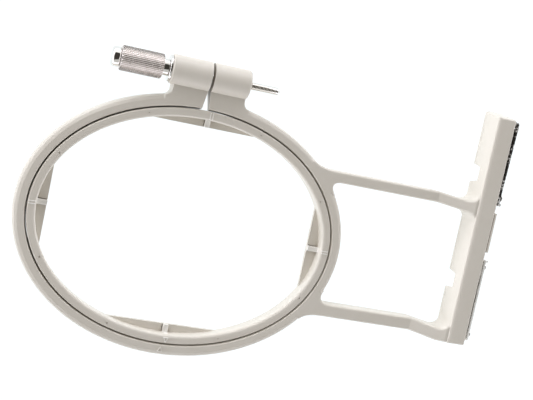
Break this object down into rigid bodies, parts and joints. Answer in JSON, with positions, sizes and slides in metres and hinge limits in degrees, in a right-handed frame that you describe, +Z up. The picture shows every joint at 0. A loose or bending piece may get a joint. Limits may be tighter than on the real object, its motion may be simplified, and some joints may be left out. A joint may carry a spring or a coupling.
{
  "type": "machine embroidery hoop",
  "caption": "Oval embroidery hoop: a split outer ring with a knurled clamp screw holds a lift-out inner ring, and arms join it to a latching coupling bar for a machine's carriage.",
  "frame": {"origin": "middle of the coupling bar's underside, halfway between the two stud pockets, where the bar sits on the carriage", "axes": "+Z up out of the hoop, +X from the hoop towards the outer side of the coupling bar, +Y towards the clamp screw"},
  "size_m": [0.2431, 0.1521, 0.0168],
  "materials": {
    "moulding": "satin warm light grey moulding",
    "plated_steel": "bright nickel plate",
    "knurled_steel": "straight knurl, nickel plate",
    "latch_steel": "bent strip steel, satin",
    "spring_steel": "drawn wire"
  },
  "bodies": {
    "outer_hoop": {"outer_hoop": "moulding", "clamp_nut": "plated_steel", "coupling_cover": "moulding", "cover_screw_rear": "plated_steel", "cover_screw_front": "plated_steel", "slider_screw_rear_inner": "plated_steel", "slider_screw_rear_outer": "plated_steel", "slider_screw_front_inner": "plated_steel", "slider_screw_front_outer": "plated_steel", "latch_spring_rear": "spring_steel", "latch_spring_front": "spring_steel"},
    "inner_hoop": {"inner_hoop": "moulding"},
    "screw_carrier": {"clamp_washer": "plated_steel"},
    "clamp_screw": {"clamp_screw": "plated_steel", "clamp_knob": "knurled_steel"},
    "latch_slider_rear": {"latch_slider_rear": "latch_steel"},
    "latch_slider_front": {"latch_slider_front": "latch_steel"}
  },
  "joints": [
    {"name": "inner_hoop_lift", "type": "slide", "parent": "outer_hoop", "child": "inner_hoop", "axis": [0, 0, 1], "range_m": [0, 0.03]},
    {"name": "clamp_screw_advance", "type": "slide", "parent": "outer_hoop", "child": "screw_carrier", "axis": [-1, 0, 0], "range_m": [0, 0.0035]},
    {"name": "clamp_screw_turn", "type": "hinge", "parent": "screw_carrier", "child": "clamp_screw", "pos_m": [-0.1892, 0.04815, 0.008], "axis": [-1, 0, 0], "range_deg": [0, 1810]},
    {"name": "latch_slider_rear_press", "type": "slide", "parent": "outer_hoop", "child": "latch_slider_rear", "axis": [0, -1, 0], "range_m": [0, 0.0032], "stiffness_N_per_m": 600, "springref_m": -0.008, "deforming": ["latch_spring_rear"]},
    {"name": "latch_slider_front_press", "type": "slide", "parent": "outer_hoop", "child": "latch_slider_front", "axis": [0, 1, 0], "range_m": [0, 0.0032], "stiffness_N_per_m": 600, "springref_m": -0.008, "deforming": ["latch_spring_front"]}
  ],
  "couplings": [
    {"joint": "clamp_screw_turn", "follows": "clamp_screw_advance", "rad_per_m": 8976}
  ]
}
